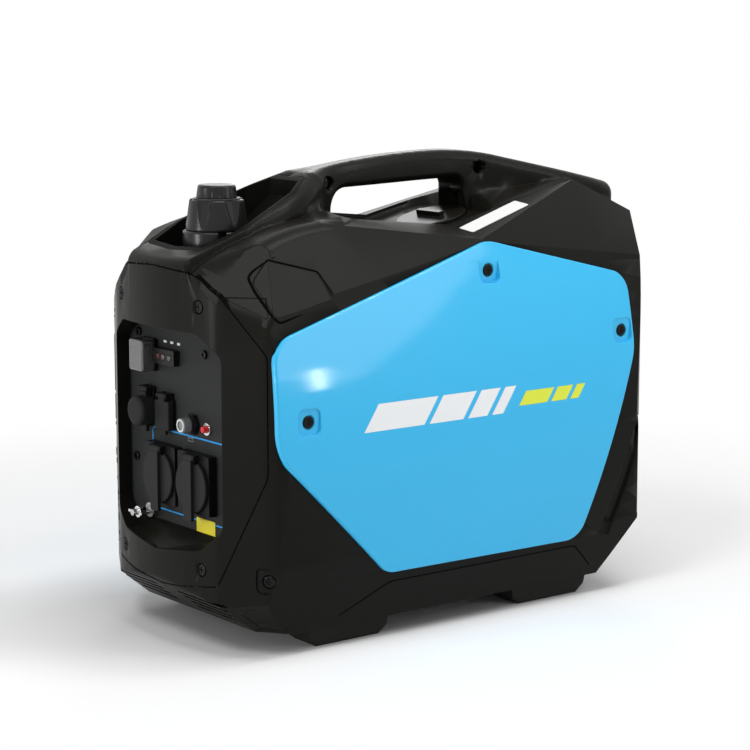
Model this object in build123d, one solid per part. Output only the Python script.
"""Portable inverter generator: housing, control panel, fuel filler and running gear, in millimetres.

X runs along the length with the control end at -X, Y across, Z up, origin at the centre of the ground footprint.
"""
import math
import os

from build123d import *

# Overall size
LENGTH = 530.0
WIDTH = 290.0
HEIGHT = 445.0
WALL = 4.5
PANEL_PROUD = 3.0
PANEL_SEAT = 2.5
BODY_HALF = WIDTH / 2 - PANEL_PROUD
FLOOR_Z = 20.0

# Housing form: barrelled sides, bulged ends, chamfered corners
BARREL_RADIUS = 660.0
BARREL_Z = 185.0
END_RADIUS = 300.0
END_HALF = 82.0
END_ROUND = 40.0
CORNER_RUN = 33.0
SIDE_ROUND = 45.0
CHIN_RISE = 38.0
CHIN_RUN = 48.0
TAIL_RISE = 100.0
TAIL_RUN = 85.0
BROW_Z = 343.0
BROW_MID = (-204.0, 377.0)
BROW_END = (-140.0, 391.0)
BROW_ROUND = 16.0
BROW_EDGE_ROUND = 20.0
CHIN_ROUND = 30.0
TAIL_ROUND = 25.0
TAIL_TOP_Z = 372.0
TAIL_SLOPE = 0.57
TOP_LIMIT = 425.0
DECK_LOW = (31.0, -115.5, 367.0)
DECK_FRONT_SLOPE = -0.105
DECK_REAR_SLOPE = 0.221
DECK_SIDE_SLOPE = 0.2
SHOULDER_FRONT = ((-130.0, -85.0, 400.0), (-130.0, -135.0, 317.0), (31.0, -115.5, 367.0))
SHOULDER_REAR = ((31.0, -115.5, 367.0), (195.0, -65.0, 412.0), (180.0, -138.0, 327.0))

# Ridge: nose, carrying handle and spine in one run
NOSE_FRONT = (-247.0, 365.0)
NOSE_END = (-102.0, 430.0)
HANDLE_MID = 63.0
HANDLE_END = (125.0, 438.5)
SPINE_END = (258.0, 406.0)
RIDGE_HALF = ((-272.0, 66.0), (-205.0, 66.0), (-150.0, 58.0), (-112.0, 42.0), (-78.0, 22.0), (-40.0, 19.0),
              (70.0, 19.0), (120.0, 30.0), (190.0, 56.0), (258.0, 58.0))
RIDGE_FOOT_Z = 338.0
RIDGE_ROUND = 14.0
GRIP_FRONT_X = -76.0
GRIP_REAR_X = 86.0
GRIP_FRONT_Z = 413.0
GRIP_REAR_Z = 417.5
GRIP_FRONT_ROUND = 22.0
GRIP_REAR_ROUND = 10.0
GRIP_ROUND = 7.0
HAND_HALF = 66.0
HAND_FRONT_X = -96.0
HAND_REAR_X = 96.0
HAND_FLOOR_Z = 366.0
HAND_RAMP_X = 20.0
HAND_RAMP_SLOPE = 0.25
HAND_CORNER = 18.0
HANDLE_SCREWS = ((-81.0, 419.5), (103.0, 426.6))

# End covers and base
FRONT_SEAM = ((0.0, 353.0), (63.0, 349.0), (86.0, 334.0), (129.0, 280.0), (129.0, 170.0), (84.0, 66.0), (0.0, 54.0))
REAR_SEAM = ((0.0, 350.0), (66.0, 346.0), (124.0, 292.0), (124.0, 165.0), (86.0, 132.0), (0.0, 130.0))
SEAM_ROUND = 9.0
BASE_FRONT_X = -90.0
BASE_REAR_X = 143.0
BASE_TOP_Z = 55.0
BASE_FRONT_RUN = 2.235
BASE_REAR_RUN = 1.03
FOOT_FRONT = (-172.0, -76.0)
FOOT_REAR = (76.0, 176.0)
FOOT_Y = 91.0
FOOT_WIDTH = 38.0
CAVITY_TOP_Z = 345.0
CAVITY_NOSE_X = -150.0
CAVITY_NOSE_Z = 330.0

# Side panels
PANEL_OUTLINE = ((-227.0, 190.0, 55.0), (-226.0, 292.0, 28.0), (34.0, 366.0, 40.0), (206.0, 323.0, 24.0),
                 (209.5, 248.0, 60.0), (145.0, 62.5, 24.0), (-97.0, 64.5, 26.0))
PANEL_EDGE = 2.4
PANEL_LEDGE = 12.0
PANEL_SCREWS = ((30.5, 338.4), (-192.3, 219.4), (193.1, 268.2))
PANEL_ARMS = ((0.0, 18.0), (-32.0, 0.0), (18.0, 0.0))
PANEL_POCKET = 24.0
PANEL_POCKET_DEPTH = 2.0
SCREW_WELL_RADIUS = 6.6
SCREW_HEAD_RADIUS = 5.6
SCREW_HEAD_HEIGHT = 2.4
SCREW_SHANK_RADIUS = 2.0
SCREW_FLOOR = 1.5

# Housing details
END_SCREW_Y = 65.0
END_SCREW_Z = (320.0, 79.0)
REAR_SCREW_Z = (326.0, 140.0)
CORNER_SCREW_Y = 129.0
CORNER_SCREW_Z = 76.0
CORNER_POCKET = 25.0
CORNER_POCKET_DEPTH = 3.0
CHIN_SLOT_Z = (49.0, 43.0, 37.0, 31.0)
CHIN_SLOT_HEIGHT = 2.6
CHIN_SLOT_DEPTH = 3.0
GROOVE = ((229.0, 180.0), (215.0, 180.0), (172.0, 64.0), (188.0, 60.0))
GROOVE_DEPTH = 3.5
FACET = ((-208.0, 363.0), (-231.0, 350.0), (-218.0, 313.0), (-150.0, 327.0), (-160.0, 350.0))
FACET_DEPTH = 1.6
LOUVRE_ROWS = 6
LOUVRE_PITCH = 15.0
LOUVRE_Z = 152.0
LOUVRE_HALF = 74.0
LOUVRE_HEIGHT = 6.0
TAIL_PIPE_Y = 40.0
TAIL_PIPE_Z = 282.0
TAIL_PIPE_RADIUS = 20.0
PIPE_HOLE_RADIUS = 26.0

# Control recess and panel
PANEL_X = -235.0
PLATE = 2.5
RECESS = ((0.0, 296.0, 0.0), (62.0, 296.0, 14.0), (89.0, 277.0, 14.0), (89.0, 117.0, 14.0), (64.0, 96.0, 18.0),
          (0.0, 88.0, 0.0))
SCOOP_RISE = 17.0
ROCKER = (52.0, 262.0)
INDICATOR = (20.0, 263.0)
DC_SOCKET = (51.0, 209.0)
USB_SOCKET = (21.0, 209.0)
BREAKER = (-21.0, 205.0)
RESET = (-46.0, 204.0)
OUTLETS = ((24.6, 150.0), (-32.4, 150.0))
GROUND = (51.0, 112.0)
PLATE_SCREWS = ((-41.0, 272.0), (-70.0, 112.0), (71.0, 281.0), (78.0, 160.0))
LID_RADIUS = 25.3
PIN_RADIUS = 1.5
PIN_PLAY = 0.06
GAP = 0.4

# Fuel filler
CAP_X = -193.0
TRAY = ((-246.0, 0.0), (-241.0, 46.0), (-200.0, 56.0), (-134.0, 43.0), (-111.0, 26.0))
TRAY_RIM = 6.0
TRAY_CORNER = 6.0
TRAY_SKIN = 3.0
TRAY_FLOOR_Z = 352.0
TRAY_RAMP_X = -160.0
TRAY_RAMP_END = (-114.0, 412.0)
NECK_RADIUS = 20.0
NECK_TOP_Z = 396.0
COLLAR_RADIUS = 32.0
COLLAR_TOP_Z = 380.5
CAP_RADIUS = 29.5
CAP_TOP_RADIUS = 25.0
CAP_TOP_Z = 409.0
CAP_LOBES = 6
KNOB_RADIUS = 19.0
KNOB_TOP_Z = 422.5
KNOB_FLUTES = 18

# Plug access lid in the hand recess
ACCESS_X = 62.0
ACCESS_RADIUS = 36.0
ACCESS_THICK = 8.0
ACCESS_SINK = 5.0

# Running gear
CRANK_Z = 152.0
CASE_X = (-40.0, 112.0)
CASE_HALF = 66.0
CASE_Z = (44.0, 216.0)
MOUNT_RADIUS = 14.0
MOUNT_X = (-18.0, 90.0)
MOUNT_Y = 48.0
SHAFT_RADIUS = 10.0
ROTOR_RADIUS = 66.0
STATOR_RADIUS = 52.0
SHROUD_RADIUS = 92.0
CYLINDER_X = 62.0
FIN_HALF = 44.0
FIN_COUNT = 8
HEAD_Z = (298.0, 326.0)
MUFFLER_X = (136.0, 228.0)
MUFFLER_HALF = 74.0
MUFFLER_Z = (150.0, 322.0)
TANK_X = (-225.0, -75.0)
TANK_HALF = 94.0
TANK_FLOOR_Z = 277.0
INVERTER_X = (-200.0, -160.0)
INVERTER_HALF = 86.0
INVERTER_Z = (100.0, 255.0)
GRIP_X = -116.0
GRIP_Z = 212.0
GRIP_POCKET = (100.0, 44.0)
GRIP_POCKET_Y = 112.0


def block(x0, x1, y0, y1, z0, z1):
    return Pos((x0 + x1) / 2, (y0 + y1) / 2, (z0 + z1) / 2) * Box(x1 - x0, y1 - y0, z1 - z0)


def rod_x(x0, x1, y, z, radius):
    return Pos((x0 + x1) / 2, y, z) * Rot(0, 90, 0) * Cylinder(radius, x1 - x0)


def rod_y(y0, y1, x, z, radius):
    return Pos(x, (y0 + y1) / 2, z) * Rot(90, 0, 0) * Cylinder(radius, y1 - y0)


def rod_z(z0, z1, x, y, radius):
    return Pos(x, y, (z0 + z1) / 2) * Cylinder(radius, z1 - z0)


def outline_xz(points):
    return make_face(Plane.XZ * Polyline(*points, close=True))


def outline_yz(points):
    return make_face(Plane.YZ * Polyline(*points, close=True))


def outline_xy(points):
    return make_face(Polyline(*points, close=True))


def across(face, reach=300.0):
    return extrude(face, reach, both=True)


def mirrored(shape):
    return mirror(shape, about=Plane.XZ)


def barrel_y(z):
    return BODY_HALF - BARREL_RADIUS + math.sqrt(BARREL_RADIUS ** 2 - (z - BARREL_Z) ** 2)


def plan_face(inset=0.0):
    half = LENGTH / 2
    sag = END_RADIUS - math.sqrt(END_RADIUS ** 2 - END_HALF ** 2)
    wide = BODY_HALF + 6
    end = half - sag
    side = end - CORNER_RUN * (wide - END_HALF) / (BODY_HALF - END_HALF)
    face = make_face([
        ThreePointArc((-end, -END_HALF), (-half, 0), (-end, END_HALF)),
        Polyline((-end, END_HALF), (-side, wide), (side, wide), (end, END_HALF)),
        ThreePointArc((end, END_HALF), (half, 0), (end, -END_HALF)),
        Polyline((end, -END_HALF), (side, -wide), (-side, -wide), (-end, -END_HALF)),
    ])
    ends = [v for v in face.vertices() if abs(abs(v.Y) - END_HALF) < 1]
    face = fillet(ends, END_ROUND)
    sides = [v for v in face.vertices() if abs(abs(v.Y) - wide) < 1]
    face = fillet(sides, SIDE_ROUND)
    return offset(face, -inset, kind=Kind.INTERSECTION) if inset else face


def plane_of(points, side):
    a, b, c = (Vector(x, -side * y, z) for x, y, z in points)
    normal = (b - a).cross(c - a).normalized()
    return Plane(origin=a, z_dir=normal if normal.Z > 0 else -normal)


def side_face(inset=0.0):
    half = LENGTH / 2
    rise_end = (-40.0, BROW_END[1] + 0.25 * (-40.0 - BROW_END[0]))
    tail_x = half - (TOP_LIMIT - TAIL_TOP_Z) / TAIL_SLOPE
    brow = ThreePointArc((-half, BROW_Z), BROW_MID, BROW_END)
    rest = Polyline(BROW_END, rise_end, (0, TOP_LIMIT), (tail_x, TOP_LIMIT), (half, TAIL_TOP_Z),
                    (half, FLOOR_Z + TAIL_RISE), (half - TAIL_RUN, FLOOR_Z), (-half + CHIN_RUN, FLOOR_Z),
                    (-half, FLOOR_Z + CHIN_RISE), (-half, BROW_Z))
    face = make_face([brow, rest])
    for x, z, radius in ((-half, BROW_Z, BROW_ROUND), (half, TAIL_TOP_Z, TAIL_ROUND),
                         (half, FLOOR_Z + TAIL_RISE, TAIL_ROUND), (-half, FLOOR_Z + CHIN_RISE, CHIN_ROUND)):
        corner = [v for v in face.vertices() if abs(v.X - x) < 0.01 and abs(v.Y - z) < 0.01]
        face = fillet(corner, radius)
    if inset:
        face = offset(face, -inset, kind=Kind.INTERSECTION)
    return Plane.XZ * face


def deck_surface(slope, side):
    x, y, z = DECK_LOW
    normal = Vector(-slope, side * DECK_SIDE_SLOPE, 1)
    return Plane(origin=(x, -side * y, z), z_dir=normal)


def barrel(inset=0.0):
    centre = BARREL_RADIUS - BODY_HALF
    near = rod_x(-LENGTH, LENGTH, centre, BARREL_Z, BARREL_RADIUS - inset)
    far = rod_x(-LENGTH, LENGTH, -centre, BARREL_Z, BARREL_RADIUS - inset)
    return near & far


def main_form():
    body = across(side_face())
    shoulders = [plane_of(SHOULDER_FRONT, side) for side in (1, -1)]
    for plane in shoulders:
        body = split(body, bisect_by=plane, keep=Keep.BOTTOM)
    brow = []
    for edge in body.edges():
        c = edge.position_at(0.5)
        on_shoulder = any(abs(p.to_local_coords(c).Z) < 0.01 for p in shoulders)
        if on_shoulder and c.Z > 300 and abs(c.Y) > 5 and c.X < -45:
            brow.append(edge)
    body = fillet(brow, BROW_EDGE_ROUND)
    for side in (1, -1):
        body = split(body, bisect_by=plane_of(SHOULDER_REAR, side), keep=Keep.BOTTOM)
    body = body & extrude(plan_face(), 2 * HEIGHT) & barrel()
    for side in (1, -1):
        y0, y1 = sorted((0, side * WIDTH))
        tool = block(-LENGTH, LENGTH, y0, y1, RIDGE_FOOT_Z, 2 * HEIGHT)
        tool = split(tool, bisect_by=deck_surface(DECK_FRONT_SLOPE, side), keep=Keep.TOP)
        tool = split(tool, bisect_by=deck_surface(DECK_REAR_SLOPE, side), keep=Keep.TOP)
        body -= tool
    return body


def nose_z(x):
    slope = (NOSE_END[1] - NOSE_FRONT[1]) / (NOSE_END[0] - NOSE_FRONT[0])
    return NOSE_FRONT[1] + slope * (x - NOSE_FRONT[0])


def ridge_form():
    x0 = RIDGE_HALF[0][0]
    x1 = SPINE_END[0]
    rise = HEIGHT - NOSE_END[1]
    radius = ((HANDLE_MID - NOSE_END[0]) ** 2 + rise ** 2) / (2 * rise)
    mid = (HANDLE_MID + NOSE_END[0]) / 2
    profile = Plane.XZ * make_face([
        Polyline((x1, RIDGE_FOOT_Z), (x0, RIDGE_FOOT_Z), (x0, nose_z(x0)), NOSE_END),
        ThreePointArc(NOSE_END, (mid, HEIGHT - radius + math.sqrt(radius ** 2 - (HANDLE_MID - mid) ** 2)),
                      (HANDLE_MID, HEIGHT)),
        TangentArc((HANDLE_MID, HEIGHT), HANDLE_END, tangent=(1, 0)),
        Polyline(HANDLE_END, SPINE_END, (x1, RIDGE_FOOT_Z)),
    ])
    near = [(x, -y) for x, y in RIDGE_HALF]
    plan = make_face([
        Spline(*RIDGE_HALF), Line(RIDGE_HALF[-1], near[-1]), Spline(*near), Line(near[0], RIDGE_HALF[0]),
    ])
    ridge = across(profile) & extrude(plan, 2 * HEIGHT) & extrude(plan_face(), 2 * HEIGHT)
    crown = [e for e in ridge.edges() if e.center().Z > RIDGE_FOOT_Z + 15 and e.length > 30
             and (abs(e.center().Y) > 5 or e.center().X > x1 - 1 or e.center().X < -LENGTH / 2 + 5)]
    ridge = fillet(crown, RIDGE_ROUND)
    opening = make_face(Polyline((GRIP_FRONT_X, RIDGE_FOOT_Z), (GRIP_FRONT_X, GRIP_FRONT_Z),
                                 (GRIP_REAR_X, GRIP_REAR_Z), (GRIP_REAR_X, RIDGE_FOOT_Z), close=True))
    front = [v for v in opening.vertices() if v.Y > RIDGE_FOOT_Z + 5 and v.X < 0]
    opening = fillet(front, GRIP_FRONT_ROUND)
    rear = [v for v in opening.vertices() if v.Y > RIDGE_FOOT_Z + 5 and v.X > 0]
    opening = fillet(rear, GRIP_REAR_ROUND)
    ridge -= across(Plane.XZ * opening)
    lip = [e for e in ridge.edges() if GRIP_FRONT_X - 1 < e.center().X < GRIP_REAR_X + 1
           and RIDGE_FOOT_Z + 30 < e.center().Z < GRIP_REAR_Z + 0.5 and abs(e.center().Y) > 12]
    return fillet(lip, GRIP_ROUND)


def hand_recess():
    plan = outline_xy([(HAND_FRONT_X, -HAND_HALF), (HAND_REAR_X, -HAND_HALF), (HAND_REAR_X, HAND_HALF),
                       (HAND_FRONT_X, HAND_HALF)])
    plan = fillet(plan.vertices(), HAND_CORNER)
    ramp = outline_xz([(HAND_FRONT_X - 5, 2 * HEIGHT), (HAND_FRONT_X - 5, HAND_FLOOR_Z), (HAND_RAMP_X, HAND_FLOOR_Z),
                       (HAND_REAR_X + 5, HAND_FLOOR_Z + HAND_RAMP_SLOPE * (HAND_REAR_X + 5 - HAND_RAMP_X)),
                       (HAND_REAR_X + 5, 2 * HEIGHT)])
    return extrude(plan, 2 * HEIGHT) & across(ramp)


def near_half(shape):
    return shape & block(-LENGTH, LENGTH, -WIDTH, 0, -HEIGHT, 2 * HEIGHT)


def housing_form():
    return main_form() - hand_recess() + ridge_form()


def housing_half():
    return near_half(main_form()) - hand_recess() + near_half(ridge_form())


def symmetric_yz(half):
    other = [(-y, z) for y, z in reversed(half) if y > 0]
    return outline_yz(list(half) + other)


def end_plate(body, seam, end):
    face = symmetric_yz(seam)
    corners = [v for v in face.vertices() if abs(v.Y) > 5]
    prism = extrude(fillet(corners, SEAM_ROUND), LENGTH, dir=(end, 0, 0))
    return (body & prism) - extrude(plan_face(WALL), 2 * HEIGHT)


def skin_core(depth):
    core = across(side_face(depth)) & extrude(plan_face(depth), 2 * HEIGHT) & barrel(depth)
    for side in (1, -1):
        for points in (SHOULDER_FRONT, SHOULDER_REAR):
            plane = plane_of(points, side)
            core = split(core, bisect_by=plane.offset(-depth), keep=Keep.BOTTOM)
    return core


def cavity_form():
    room = skin_core(WALL)
    room -= block(-LENGTH, LENGTH, -WIDTH, WIDTH, CAVITY_TOP_Z, 2 * HEIGHT)
    return room - block(-LENGTH, CAVITY_NOSE_X, -WIDTH, WIDTH, CAVITY_NOSE_Z, 2 * HEIGHT)


def base_prism(drop=0.0, lower=0.0):
    low = lower if lower else FLOOR_Z - 10
    fall = BASE_TOP_Z - low
    return across(outline_xz([
        (BASE_FRONT_X + drop - BASE_FRONT_RUN * fall, low), (BASE_FRONT_X + drop, BASE_TOP_Z),
        (BASE_REAR_X - drop, BASE_TOP_Z), (BASE_REAR_X - drop + BASE_REAR_RUN * fall, low)]))


def base_tray(body):
    floor = FLOOR_Z + WALL
    pocket = base_prism(3 * WALL, floor) + block(BASE_FRONT_X + 3 * WALL, BASE_REAR_X - 3 * WALL, -WIDTH, WIDTH,
                                                 BASE_TOP_Z - 1, BASE_TOP_Z + 5)
    return (body & base_prism()) - (pocket & barrel(WALL))


def panel_face(inset=0.0):
    face = outline_xz([(x, z) for x, z, r in PANEL_OUTLINE])
    for x, z, radius in PANEL_OUTLINE:
        corner = [v for v in face.vertices() if abs(v.X - x) < 0.01 and abs(v.Z - z) < 0.01]
        face = fillet(corner, radius)
    return offset(face, -inset, kind=Kind.INTERSECTION) if inset else face


def near_side(face, reach=60.0):
    return extrude(face, WIDTH, dir=(0, -1, 0)) - block(-LENGTH, LENGTH, -reach, reach, -HEIGHT, 2 * HEIGHT)


def near_cylinder(swell):
    return rod_x(-LENGTH, LENGTH, BARREL_RADIUS - BODY_HALF, BARREL_Z, BARREL_RADIUS + swell)


def screw(head=SCREW_HEAD_RADIUS, reach=6.0):
    body = Pos(0, 0, SCREW_HEAD_HEIGHT / 2) * Cylinder(head, SCREW_HEAD_HEIGHT)
    body = fillet(body.edges().sort_by(Axis.Z)[-1], 0.8)
    body -= Pos(0, 0, SCREW_HEAD_HEIGHT) * Box(head * 1.2, 1.3, 2.2)
    body -= Pos(0, 0, SCREW_HEAD_HEIGHT) * Box(1.3, head * 1.2, 2.2)
    return body + Pos(0, 0, -reach / 2) * Cylinder(SCREW_SHANK_RADIUS, reach)


def well(depth_below, depth_above=40.0, radius=SCREW_WELL_RADIUS):
    bore = Pos(0, 0, depth_above / 2) * Cylinder(radius, depth_above)
    return bore + Pos(0, 0, -depth_below / 2) * Cylinder(SCREW_SHANK_RADIUS, depth_below)


def side_plane(x, z, depth):
    return Plane(origin=(x, -(barrel_y(z) + depth), z), x_dir=(1, 0, 0), z_dir=(0, -1, 0))


def side_panel():
    panel = (near_side(panel_face()) & near_cylinder(PANEL_PROUD)) - near_cylinder(-PANEL_SEAT)
    rim = panel.faces().sort_by(Axis.Y)[0].edges()
    panel = fillet(rim, PANEL_EDGE)
    for x, z in PANEL_SCREWS:
        pocket = extrude(fillet(Rectangle(PANEL_POCKET, PANEL_POCKET).vertices(), 6), 40)
        panel -= side_plane(x, z, PANEL_PROUD - PANEL_POCKET_DEPTH) * pocket
        panel -= side_plane(x, z, SCREW_FLOOR - PANEL_SEAT) * well(SCREW_FLOOR + 5)
    return panel


def panel_screws():
    return [side_plane(x, z, SCREW_FLOOR - PANEL_SEAT) * screw() for x, z in PANEL_SCREWS]


def end_surface_x(y):
    return LENGTH / 2 - END_RADIUS + math.sqrt(END_RADIUS ** 2 - y ** 2)


def end_plane(y, z, end):
    x = end * (end_surface_x(y) - WALL + SCREW_FLOOR)
    return Plane(origin=(x, y, z), x_dir=(0, end, 0), z_dir=(end, 0, 0))


def corner_plane(end, depth):
    run = end_surface_x(END_HALF) - CORNER_RUN * (CORNER_SCREW_Y - END_HALF) / (BODY_HALF - END_HALF)
    normal = Vector(end * (BODY_HALF - END_HALF), -CORNER_RUN, 0).normalized()
    origin = Vector(end * run, -CORNER_SCREW_Y, CORNER_SCREW_Z) - normal * depth
    return Plane(origin=origin, x_dir=normal.cross(Vector(0, 0, 1)), z_dir=normal)


def corner_screws():
    return [corner_plane(end, CORNER_POCKET_DEPTH) * screw() for end in (-1, 1)]


def handle_plane(x, z):
    return Plane(origin=(x, -14, z), x_dir=(1, 0, 0), z_dir=(0, -1, 0))


def handle_screws():
    return [handle_plane(x, z) * screw(reach=5) for x, z in HANDLE_SCREWS]


def shell_half(body, room):
    half = housing_half() - room - base_prism()
    for seam, end in ((FRONT_SEAM, -1), (REAR_SEAM, 1)):
        half -= end_plate(body, seam, end)
    half -= tray_form(body)
    half -= rod_z(CAVITY_NOSE_Z - 10, TRAY_FLOOR_Z, CAP_X, 0, NECK_RADIUS + 1.5)
    half -= access_plane(-ACCESS_SINK) * Pos(0, 0, 12) * Cylinder(ACCESS_RADIUS + GAP, 24)
    half -= access_plane(-ACCESS_SINK) * Pos(0, 0, -30) * Cylinder(ACCESS_RADIUS - 6, 60)
    half -= near_side(panel_face()) - near_cylinder(-PANEL_SEAT)
    opening = near_side(panel_face(PANEL_LEDGE))
    boss = SCREW_WELL_RADIUS + 6
    for (x, z), (dx, dz) in zip(PANEL_SCREWS, PANEL_ARMS):
        opening -= rod_y(-WIDTH, 0, x, z, boss)
        opening -= block(min(x - boss * bool(dz), x + dx), max(x + boss * bool(dz), x + dx), -WIDTH, 0,
                         min(z - boss * bool(dx), z + dz), max(z + boss * bool(dx), z + dz))
    half -= opening
    for x, z in PANEL_SCREWS:
        half -= side_plane(x, z, -PANEL_SEAT) * Pos(0, 0, -3) * Cylinder(SCREW_SHANK_RADIUS, 20)
    for end in (-1, 1):
        pocket = extrude(fillet(Rectangle(CORNER_POCKET, CORNER_POCKET).vertices(), 6), 40)
        ring = pocket - extrude(fillet(Rectangle(CORNER_POCKET - 5, CORNER_POCKET - 5).vertices(), 4), 40)
        half -= corner_plane(end, 1.6) * ring
        half -= corner_plane(end, CORNER_POCKET_DEPTH) * well(7)
    for x, z in HANDLE_SCREWS:
        half -= handle_plane(x, z) * well(5)
    core = across(side_face(CHIN_SLOT_DEPTH)) & extrude(plan_face(CHIN_SLOT_DEPTH), 2 * HEIGHT)
    for i, z in enumerate(CHIN_SLOT_Z):
        slot = block(-LENGTH, -200, -92 + 3 * i, -18, z - CHIN_SLOT_HEIGHT / 2, z + CHIN_SLOT_HEIGHT / 2)
        half -= slot - core
    groove = across(outline_xz(GROOVE)) - block(-LENGTH, LENGTH, -90, WIDTH, -HEIGHT, HEIGHT)
    half -= groove - (barrel(GROOVE_DEPTH) & extrude(plan_face(GROOVE_DEPTH), 2 * HEIGHT))
    facet = near_side(fillet(outline_xz(FACET).vertices(), 5))
    half -= split(facet, bisect_by=plane_of(SHOULDER_FRONT, -1).offset(-FACET_DEPTH), keep=Keep.TOP)
    return half


def recess_face(swell=0.0):
    half = [(y, z) for y, z, r in RECESS]
    face = symmetric_yz(half)
    for y, z, radius in RECESS:
        if radius:
            corners = [v for v in face.vertices() if abs(abs(v.Y) - y) < 0.01 and abs(v.Z - z) < 0.01]
            face = fillet(corners, radius)
    return offset(face, swell, kind=Kind.INTERSECTION) if swell else face


def front_cover(body):
    cover = end_plate(body, FRONT_SEAM, -1)
    reach = LENGTH / 2 + PANEL_X + 5
    tube = Pos(PANEL_X, 0, 0) * extrude(recess_face(PLATE), reach, dir=(-1, 0, 0))
    hole = Pos(PANEL_X, 0, 0) * extrude(recess_face(), reach, dir=(-1, 0, 0))
    cover = cover + (tube & extrude(plan_face(), 2 * HEIGHT)) - hole
    low = RECESS[-1][1]
    scoop = across(outline_xz([(-LENGTH / 2, low - 2), (PANEL_X, low - 2), (PANEL_X, low + SCOOP_RISE)]))
    cover += scoop & hole & extrude(plan_face(WALL / 2), 2 * HEIGHT)
    for z in END_SCREW_Z:
        for y in (-END_SCREW_Y, END_SCREW_Y):
            cover -= end_plane(y, z, -1) * well(7)
    return cover


def end_screws(end, heights):
    return [end_plane(y, z, end) * screw() for z in heights for y in (-END_SCREW_Y, END_SCREW_Y)]


def rear_cover(body):
    cover = end_plate(body, REAR_SEAM, 1)
    for i in range(LOUVRE_ROWS):
        z = LOUVRE_Z + i * LOUVRE_PITCH
        slot = block(LENGTH / 2 - 60, LENGTH, -LOUVRE_HALF, LOUVRE_HALF, z, z + LOUVRE_HEIGHT)
        cover -= slot
    cover -= rod_x(0, LENGTH, TAIL_PIPE_Y, TAIL_PIPE_Z, PIPE_HOLE_RADIUS)
    for z in REAR_SCREW_Z:
        for y in (-END_SCREW_Y, END_SCREW_Y):
            cover -= end_plane(y, z, 1) * well(7)
    return cover


def tray_face(inset=0.0):
    face = outline_xy(list(TRAY) + [(x, -y) for x, y in reversed(TRAY) if y > 0])
    corners = [v for v in face.vertices() if abs(v.Y) > 1]
    face = fillet(corners, TRAY_CORNER)
    return offset(face, -inset, kind=Kind.INTERSECTION) if inset else face


def tray_ramp(drop=0.0):
    x, z = TRAY_RAMP_END
    return across(outline_xz([
        (-LENGTH, 2 * HEIGHT), (-LENGTH, TRAY_FLOOR_Z - drop), (TRAY_RAMP_X, TRAY_FLOOR_Z - drop),
        (x, z - drop), (x + 20, z - drop + 30), (x + 20, 2 * HEIGHT)]))


def tray_form(body):
    return body & extrude(tray_face(), 2 * HEIGHT) & tray_ramp(TRAY_SKIN)


def fuel_tray(body):
    tray = tray_form(body) - (extrude(tray_face(TRAY_RIM), 2 * HEIGHT) & tray_ramp())
    return tray - rod_z(0, HEIGHT, CAP_X, 0, NECK_RADIUS + 1.5)


def filler_collar():
    collar = rod_z(TRAY_FLOOR_Z, COLLAR_TOP_Z, CAP_X, 0, COLLAR_RADIUS)
    collar = fillet(collar.edges().sort_by(Axis.Z)[-1], 2)
    collar -= rod_z(0, HEIGHT, CAP_X, 0, NECK_RADIUS + 1.5)
    notch = block(CAP_X - 4, CAP_X + 4, -2 * COLLAR_RADIUS, 0, COLLAR_TOP_Z - 6, COLLAR_TOP_Z + 5)
    return collar - (Pos(CAP_X, 0, 0) * Rot(0, 0, -25) * Pos(-CAP_X, 0, 0) * notch)


def fuel_cap():
    low = COLLAR_TOP_Z + GAP
    cap = revolve(outline_xz([(0, low), (CAP_RADIUS, low), (CAP_RADIUS, low + 3), (CAP_TOP_RADIUS + 0.8, CAP_TOP_Z),
                              (0, CAP_TOP_Z)]), Axis.Z)
    for i in range(CAP_LOBES):
        scoop = Pos(CAP_RADIUS + 9.5, 0, CAP_TOP_Z) * Rot(0, 9, 0) * Cylinder(14, 42)
        cap -= Rot(0, 0, 360 / CAP_LOBES * (i + 0.5)) * scoop
    cap -= rod_z(0, NECK_TOP_Z + GAP, 0, 0, NECK_RADIUS + GAP)
    cap -= rod_z(CAP_TOP_Z - 7, HEIGHT, 0, 0, 5 + PIN_PLAY)
    return Pos(CAP_X, 0, 0) * cap


def cap_ring():
    ring = rod_z(CAP_TOP_Z, CAP_TOP_Z + 1.2, CAP_X, 0, CAP_TOP_RADIUS + 1.4)
    return ring - rod_z(0, HEIGHT, CAP_X, 0, 8)


def vent_knob():
    low = CAP_TOP_Z + 1.2 + GAP
    knob = Pos(0, 0, (low + KNOB_TOP_Z) / 2) * Cone(KNOB_RADIUS, KNOB_RADIUS - 1.5, KNOB_TOP_Z - low)
    knob = fillet(knob.edges().sort_by(Axis.Z)[-1], 2.5)
    for i in range(KNOB_FLUTES):
        flute = Pos(KNOB_RADIUS + 0.9, 0, low + 2) * Cylinder(1.9, 2 * (KNOB_TOP_Z - low) - 7)
        knob -= Rot(0, 0, 360 / KNOB_FLUTES * i) * flute
    knob += rod_z(CAP_TOP_Z - 6, low, 0, 0, 5)
    return Pos(CAP_X, 0, 0) * knob


def access_plane(lift=0.0):
    normal = Vector(-HAND_RAMP_SLOPE, 0, 1).normalized()
    origin = Vector(ACCESS_X, 0, HAND_FLOOR_Z + HAND_RAMP_SLOPE * (ACCESS_X - HAND_RAMP_X)) + normal * lift
    return Plane(origin=origin, x_dir=(0, 1, 0), z_dir=normal)


def access_lid():
    lid = Pos(0, 0, ACCESS_THICK / 2) * Cylinder(ACCESS_RADIUS, ACCESS_THICK)
    lid = fillet(lid.edges().sort_by(Axis.Z)[-1], 2)
    lid += Pos(0, 0, ACCESS_THICK + 2) * Box(36, 6, 6)
    return access_plane(GAP - ACCESS_SINK) * lid


def on_panel(place, out=0.0):
    y, z = place
    return Plane(origin=(PANEL_X - out, y, z), x_dir=(0, -1, 0), z_dir=(-1, 0, 0))


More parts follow.
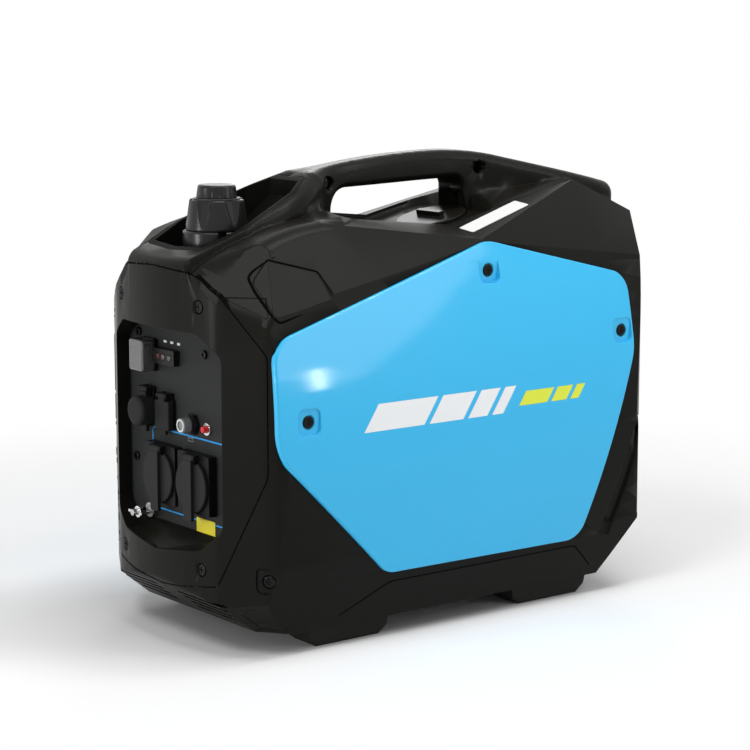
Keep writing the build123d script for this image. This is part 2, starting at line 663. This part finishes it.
def slab(width, height, z0, z1, up=0.0, right=0.0, round_by=0.0):
    face = Pos(right, up, 0) * Rectangle(width, height)
    if round_by:
        face = fillet(face.vertices(), round_by)
    return Pos(0, 0, z0) * extrude(face, z1 - z0)


def plug(radius, z0, z1, right=0.0, up=0.0):
    return Pos(right, up, (z0 + z1) / 2) * Cylinder(radius, z1 - z0)


def cross_rod(radius, width, up, out, right=0.0):
    return Pos(right, up, out) * Rot(0, 90, 0) * Cylinder(radius, width)


def knuckle(width, up, out, radius=3.0):
    return cross_rod(radius, width, up, out) - cross_rod(PIN_RADIUS + PIN_PLAY, width + 2, up, out)


def hinge_ears(width, up, out, foot, radius=3.0):
    ears = cross_rod(PIN_RADIUS, width + 2 * GAP + 4, up, out)
    for side in (-1, 1):
        right = side * (width / 2 + GAP + 1.5)
        ears += slab(3, 2 * radius, foot, out, up, right) + cross_rod(radius, 3, up, out, right)
    return ears


def control_panel():
    plate = Pos(PANEL_X, 0, 0) * extrude(recess_face(PLATE), PLATE, dir=(1, 0, 0))
    tools = [on_panel(ROCKER) * slab(18, 24, -9, 9), on_panel(DC_SOCKET) * plug(12, -9, 9),
             on_panel(USB_SOCKET) * slab(16, 18, -9, 9), on_panel(BREAKER) * plug(8, -9, 9),
             on_panel(RESET) * plug(4.5, -9, 9), on_panel(GROUND) * plug(3, -9, 9)]
    tools += [on_panel(place) * slab(44, 44, -9, 9) for place in OUTLETS]
    tools += [on_panel(place) * plug(SCREW_SHANK_RADIUS, -9, 9) for place in PLATE_SCREWS]
    for tool in tools:
        plate -= tool
    return plate


def plate_screws():
    return [on_panel(place) * screw(head=4.2) for place in PLATE_SCREWS]


def rocker_body():
    body = slab(25, 31, 0, 4, round_by=2) + slab(18, 24, -22, 0)
    return on_panel(ROCKER) * (body - slab(16.4, 22.4, -6, 5))


def rocker():
    paddle = slab(15.2, 20.4, -1.5, 7.5)
    paddle = chamfer(paddle.edges().group_by(Axis.Z)[-1], 1)
    return on_panel(ROCKER) * paddle


def rocker_boot():
    boot = slab(24, 30, 4, 17, round_by=3)
    boot = fillet(boot.faces().sort_by(Axis.Z)[-1].edges(), 2)
    return on_panel(ROCKER) * (boot - slab(21.2, 27.2, 3, 15.6, round_by=2))


def indicator_block():
    block_form = slab(36, 14.5, 0, 6.5, round_by=1)
    for right in (-10, 0, 10):
        block_form -= plug(3.4, 5.3, 9, right)
    return on_panel(INDICATOR) * block_form


def lens(right):
    dome = plug(3.0, 5.3, 7.2, right)
    return on_panel(INDICATOR) * fillet(dome.edges().sort_by(Axis.Z)[-1], 0.9)


def dc_socket():
    body = plug(16, 0, 4) + plug(12, -24, 0) - plug(9, -18, 9)
    return on_panel(DC_SOCKET) * (body + hinge_ears(8, 20, 8, 0) + slab(15.8, 12, 0, 3, 17))


def dc_cap():
    cap = plug(14.2, 4 + GAP, 20)
    cap = fillet(cap.edges().sort_by(Axis.Z)[-1], 4)
    cap -= plug(10.5, 3, 14)
    cap += knuckle(8, 20, 8) + slab(8, 9, 6.5, 9.5, 13.5) + slab(7, 8, 5, 9, -16.5, round_by=2)
    return on_panel(DC_SOCKET) * (cap - cross_rod(PIN_RADIUS + PIN_PLAY, 12, 20, 8))


def usb_socket():
    body = slab(23, 29, 0, 3, round_by=2) + slab(16, 18, -20, 0)
    for right in (-4, 4):
        body -= slab(5, 13, -14, 5, 0, right)
    return on_panel(USB_SOCKET) * (body + hinge_ears(10, 17, 6.5, 0) + slab(17.8, 6, 0, 3, 16))


def usb_flap():
    flap = slab(24, 28, 3 + GAP, 9, -1, round_by=3)
    flap = fillet(flap.faces().sort_by(Axis.Z)[-1].edges(), 1.5)
    flap += slab(10, 7, 4, 9, 14.5) + knuckle(10, 17, 6.5) + slab(8, 6, 4, 7, -16.5)
    return on_panel(USB_SOCKET) * (flap - cross_rod(PIN_RADIUS + PIN_PLAY, 14, 17, 6.5))


def breaker_body():
    nut = Pos(0, 0, 0) * extrude(RegularPolygon(10.5, 6), 5)
    return on_panel(BREAKER) * (nut + plug(8.8, 0, 7) + plug(8, -24, 0) - plug(7 + GAP, -9, 9))


def breaker_button():
    button = plug(7, -4, 15)
    button = fillet(button.edges().sort_by(Axis.Z)[-1], 1)
    return on_panel(BREAKER) * (button - plug(4.4, 14.2, 20))


def reset_body():
    return on_panel(RESET) * (plug(5.8, 0, 3) + plug(4.5, -16, 0) - plug(3.2 + GAP, -8, 9))


def reset_button():
    button = plug(3.2, -4, 7.5)
    return on_panel(RESET) * fillet(button.edges().sort_by(Axis.Z)[-1], 1)


def outlet(place):
    body = slab(52, 56, 0, 9, 2, round_by=2) + slab(44, 44, -30, 0)
    body -= plug(19.5, -9, 10)
    for right in (-9.5, 9.5):
        body -= plug(2.6, -26, 0, right)
    for up in (-18.6, 18.6):
        body += slab(5, 2.4, -9, 4, up)
    return on_panel(place) * (body + hinge_ears(13, LID_RADIUS + 1.6, 12.4, 6))


def outlet_lid(place):
    lid = plug(LID_RADIUS, 9 + GAP, 12.6)
    lid = fillet(lid.edges().sort_by(Axis.Z)[-1], 1.4)
    lid -= slab(22, 10, 8, 20, LID_RADIUS + 1)
    up = LID_RADIUS + 1.6
    lid += slab(13, 2 * LID_RADIUS + 6, 10, 16, -4, round_by=2) - slab(24, 20, 0, 12.6, -LID_RADIUS - 6)
    lid += knuckle(13, up, 12.4) + slab(13, 8, 11, 15.4, up - 4)
    return on_panel(place) * (lid - cross_rod(PIN_RADIUS + PIN_PLAY, 30, up, 12.4))


def ground_stud():
    stud = plug(3, -14, 24) + extrude(RegularPolygon(6, 6), 4) + plug(7, 4, 5)
    return on_panel(GROUND) * stud


def wing_nut():
    nut = plug(5.5, 11, 18)
    for side in (-1, 1):
        wing = slab(7, 2.4, 12, 21, 0, side * 8)
        nut += wing
    nut -= plug(3 + PIN_PLAY, 5, 25)
    return on_panel(GROUND) * nut


def foot(x0, x1, side):
    sole = outline_xz([(x0, FLOOR_Z), (x0 + 4, 6), (x0 + 12, 0), (x1 - 12, 0), (x1 - 4, 6), (x1, FLOOR_Z)])
    pad = extrude(sole, FOOT_WIDTH / 2, both=True)
    pad = fillet([e for e in pad.edges() if e.center().Z < 4 and abs(e.center().Y) > 1], 3)
    return Pos(0, side * FOOT_Y, 0) * pad


def crankcase():
    case = block(*CASE_X, -CASE_HALF, CASE_HALF, *CASE_Z)
    case = fillet(case.edges().filter_by(Axis.X), 16)
    for x in MOUNT_X:
        for y in (-MOUNT_Y, MOUNT_Y):
            case += rod_z(CASE_Z[0] - 4, CASE_Z[0], x, y, MOUNT_RADIUS)
    case += rod_x(CASE_X[0] - 14, CASE_X[0], 0, CRANK_Z, 30)
    case -= rod_x(CASE_X[0] - 20, CASE_X[1] - 20, 0, CRANK_Z, SHAFT_RADIUS + PIN_PLAY)
    return case


def engine_mounts():
    low = FLOOR_Z + WALL
    return [rod_z(low, CASE_Z[0] - 4, x, y, MOUNT_RADIUS) for x in MOUNT_X for y in (-MOUNT_Y, MOUNT_Y)]


def crankshaft():
    return rod_x(CASE_X[0] - 70, CASE_X[1] - 22, 0, CRANK_Z, SHAFT_RADIUS)


def stator():
    x0 = CASE_X[0]
    ring = rod_x(x0 - 40, x0 - 14, 0, CRANK_Z, STATOR_RADIUS) - rod_x(x0 - 60, x0, 0, CRANK_Z, 26)
    for i in range(12):
        slot = Pos(x0 - 27, 0, CRANK_Z) * Rot(30 * i, 0, 0) * Pos(0, 0, STATOR_RADIUS) * Box(40, 7, 24)
        ring -= slot
    return ring


def rotor():
    x0 = CASE_X[0]
    cup = rod_x(x0 - 52, x0 - 14, 0, CRANK_Z, ROTOR_RADIUS) - rod_x(x0 - 43, x0, 0, CRANK_Z, STATOR_RADIUS + 2)
    for i in range(12):
        blade = Pos(x0 - 58, 0, CRANK_Z) * Rot(30 * i, 0, 0) * Pos(0, 0, 62) * Box(14, 3, 40)
        cup += blade
    cup += rod_x(x0 - 60, x0 - 40, 0, CRANK_Z, 18)
    return cup - rod_x(x0 - 90, x0, 0, CRANK_Z, SHAFT_RADIUS)


def fan_shroud():
    x0 = CASE_X[0]
    ring = rod_x(x0 - 72, x0, 0, CRANK_Z, SHROUD_RADIUS) - rod_x(x0 - 80, x0 - 4, 0, CRANK_Z, SHROUD_RADIUS - 4)
    return ring - rod_x(x0 - 80, x0 + 5, 0, CRANK_Z, CASE_HALF - 18)


def recoil_housing():
    x1 = CASE_X[0] - 72
    cup = rod_x(x1 - 22, x1, 0, CRANK_Z, SHROUD_RADIUS - 4)
    cup = fillet(cup.edges().sort_by(Axis.X)[0], 8)
    for i in range(10):
        vent = Pos(x1, 0, CRANK_Z) * Rot(36 * i, 0, 0) * Pos(0, 0, 62) * Box(60, 12, 34)
        cup -= vent
    return cup + rod_x(x1 - 4, x1, 0, CRANK_Z, SHROUD_RADIUS) - rod_x(x1 - 12, x1 + 5, 0, CRANK_Z, 34)


def cylinder_block():
    low, high = CASE_Z[1], HEAD_Z[0]
    barrel_core = rod_z(low, high, CYLINDER_X, 0, 34)
    pitch = (high - low) / FIN_COUNT
    for i in range(FIN_COUNT):
        z = low + pitch * i
        fin = block(CYLINDER_X - FIN_HALF, CYLINDER_X + FIN_HALF, -FIN_HALF, FIN_HALF, z + pitch - 3, z + pitch)
        barrel_core += fillet(fin.edges().filter_by(Axis.Z), 12)
    return barrel_core


def cylinder_head():
    low, high = HEAD_Z
    head = block(CYLINDER_X - FIN_HALF, CYLINDER_X + FIN_HALF, -FIN_HALF, FIN_HALF, low, high)
    head = fillet(head.edges().filter_by(Axis.Z), 12)
    return head - rod_z(high - 6, high + 5, CYLINDER_X, 0, 9)


def spark_plug():
    high = HEAD_Z[1]
    x = CYLINDER_X
    return (rod_z(high - 6, high + 4, x, 0, 9) + rod_z(high + 4, high + 16, x, 0, 6)
            + rod_z(high + 16, high + 22, x, 0, 4))


def carburettor():
    z = HEAD_Z[0] - 4
    y = -FIN_HALF
    body = rod_y(y - 42, y, CYLINDER_X, z + 14, 14) + block(CYLINDER_X - 18, CYLINDER_X + 18, y - 34, y - 8, z - 6, z + 26)
    return body + rod_z(z - 30, z, CYLINDER_X, y - 21, 15)


def air_cleaner():
    y = -FIN_HALF - 42
    box = block(CYLINDER_X - 52, CYLINDER_X + 52, y - 32, y, HEAD_Z[0] - 60, HEAD_Z[0] + 34)
    return fillet(box.edges().filter_by(Axis.Y), 10)


def muffler():
    can = block(*MUFFLER_X, -MUFFLER_HALF, MUFFLER_HALF, *MUFFLER_Z)
    can = fillet(can.edges().filter_by(Axis.X), 24)
    return fillet(can.faces().sort_by(Axis.X)[-1].edges(), 5)


def exhaust_pipe():
    z = (HEAD_Z[0] + HEAD_Z[1]) / 2 - 2
    return rod_x(CYLINDER_X + FIN_HALF, MUFFLER_X[0], 0, z, 12)


def tail_pipe():
    x1 = end_surface_x(TAIL_PIPE_Y) - 4
    pipe = rod_x(MUFFLER_X[1], x1, TAIL_PIPE_Y, TAIL_PIPE_Z, TAIL_PIPE_RADIUS)
    return pipe - rod_x(MUFFLER_X[1] + 6, x1 + 5, TAIL_PIPE_Y, TAIL_PIPE_Z, TAIL_PIPE_RADIUS - 2)


def fuel_tank():
    tank = block(*TANK_X, -TANK_HALF, TANK_HALF, TANK_FLOOR_Z, CAVITY_NOSE_Z)
    tank = fillet(tank.edges().filter_by(Axis.Z), 22)
    tank += rod_z(CAVITY_NOSE_Z - 5, NECK_TOP_Z, CAP_X, 0, NECK_RADIUS)
    return tank - rod_z(TANK_FLOOR_Z + 4, NECK_TOP_Z + 5, CAP_X, 0, NECK_RADIUS - 3.5)


def inverter_unit():
    x0, x1 = INVERTER_X
    unit = block(x0, x1, -INVERTER_HALF, INVERTER_HALF, *INVERTER_Z)
    for i in range(12):
        y = -INVERTER_HALF + 8 + i * (2 * INVERTER_HALF - 16) / 12
        unit -= block(x1 - 16, x1 + 5, y + 4, y + 10, INVERTER_Z[0] - 5, INVERTER_Z[1] + 5)
    for y in (-INVERTER_HALF + 6, INVERTER_HALF - 6):
        for z in (INVERTER_Z[0] + 15, INVERTER_Z[1] - 12):
            unit += rod_x(PANEL_X + PLATE, x0, y, z, 4.5)
    return unit


def grip_pocket(shrink=0.0):
    face = Rectangle(GRIP_POCKET[0] - 2 * shrink, GRIP_POCKET[1] - 2 * shrink)
    face = fillet(face.vertices(), 10 - shrink)
    plane = Plane(origin=(GRIP_X, GRIP_POCKET_Y, GRIP_Z), x_dir=(-1, 0, 0), z_dir=(0, 1, 0))
    return plane * extrude(face, WIDTH)


def recoil_bezel():
    tub = grip_pocket() & mirrored(near_cylinder(PANEL_PROUD))
    tub -= Pos(0, 3, 0) * grip_pocket(2.5)
    return tub - rod_y(0, WIDTH, GRIP_X, GRIP_Z, 6 + GAP)


def recoil_grip():
    y0 = GRIP_POCKET_Y + 3 + GAP
    bar = Pos(GRIP_X, y0 + 11, GRIP_Z) * Box(84, 22, 20)
    bar = fillet(bar.edges().filter_by(Axis.X), 7)
    return bar + rod_y(y0 - 36, y0 + 4, GRIP_X, GRIP_Z, 6)


def main():
    body = housing_form()
    room = cavity_form()
    panel = side_panel()
    shell = shell_half(body, room)
    feet = [foot(*span, side) for span in (FOOT_FRONT, FOOT_REAR) for side in (-1, 1)]
    side_screws = panel_screws()
    corners = corner_screws()
    grips = handle_screws()
    nodes = {
        "right_shell": shell, "left_shell": mirrored(shell), "front_cover": front_cover(body),
        "rear_cover": rear_cover(body), "base_tray": base_tray(body), "right_panel": panel,
        "left_panel": mirrored(panel) - grip_pocket(), "rubber_feet": feet,
        "side_panel_screws": side_screws + [mirrored(s) for s in side_screws],
        "corner_screws": corners + [mirrored(s) for s in corners],
        "handle_screws": grips + [mirrored(s) for s in grips],
        "front_cover_screws": end_screws(-1, END_SCREW_Z), "rear_cover_screws": end_screws(1, REAR_SCREW_Z),
        "fuel_tray": fuel_tray(body), "filler_collar": filler_collar(), "fuel_cap": fuel_cap(),
        "cap_ring": cap_ring(), "vent_knob": vent_knob(), "access_lid": access_lid(),
        "control_panel": control_panel(), "plate_screws": plate_screws(), "rocker_body": rocker_body(),
        "rocker": rocker(), "rocker_boot": rocker_boot(), "indicator_block": indicator_block(),
        "lens_red": [lens(-10), lens(0)], "lens_green": lens(10), "dc_socket": dc_socket(), "dc_cap": dc_cap(),
        "usb_socket": usb_socket(), "usb_flap": usb_flap(), "breaker_body": breaker_body(),
        "breaker_button": breaker_button(), "reset_body": reset_body(), "reset_button": reset_button(),
        "outlet_left": outlet(OUTLETS[0]), "outlet_right": outlet(OUTLETS[1]),
        "lid_left": outlet_lid(OUTLETS[0]), "lid_right": outlet_lid(OUTLETS[1]),
        "ground_stud": ground_stud(), "wing_nut": wing_nut(), "crankcase": crankcase(),
        "engine_mounts": engine_mounts(), "crankshaft": crankshaft(), "stator": stator(), "rotor": rotor(),
        "fan_shroud": fan_shroud(), "recoil_housing": recoil_housing(), "cylinder_block": cylinder_block(),
        "cylinder_head": cylinder_head(), "spark_plug": spark_plug(), "carburettor": carburettor(),
        "air_cleaner": air_cleaner(), "muffler": muffler(), "exhaust_pipe": exhaust_pipe(),
        "tail_pipe": tail_pipe(), "fuel_tank": fuel_tank(), "inverter_unit": inverter_unit(),
        "recoil_bezel": recoil_bezel(), "recoil_grip": recoil_grip(),
    }
    os.makedirs("parts", exist_ok=True)
    for name, shape in nodes.items():
        if isinstance(shape, list):
            shape = Compound(children=shape)
        export_step(shape, f"parts/{name}.step")


main()
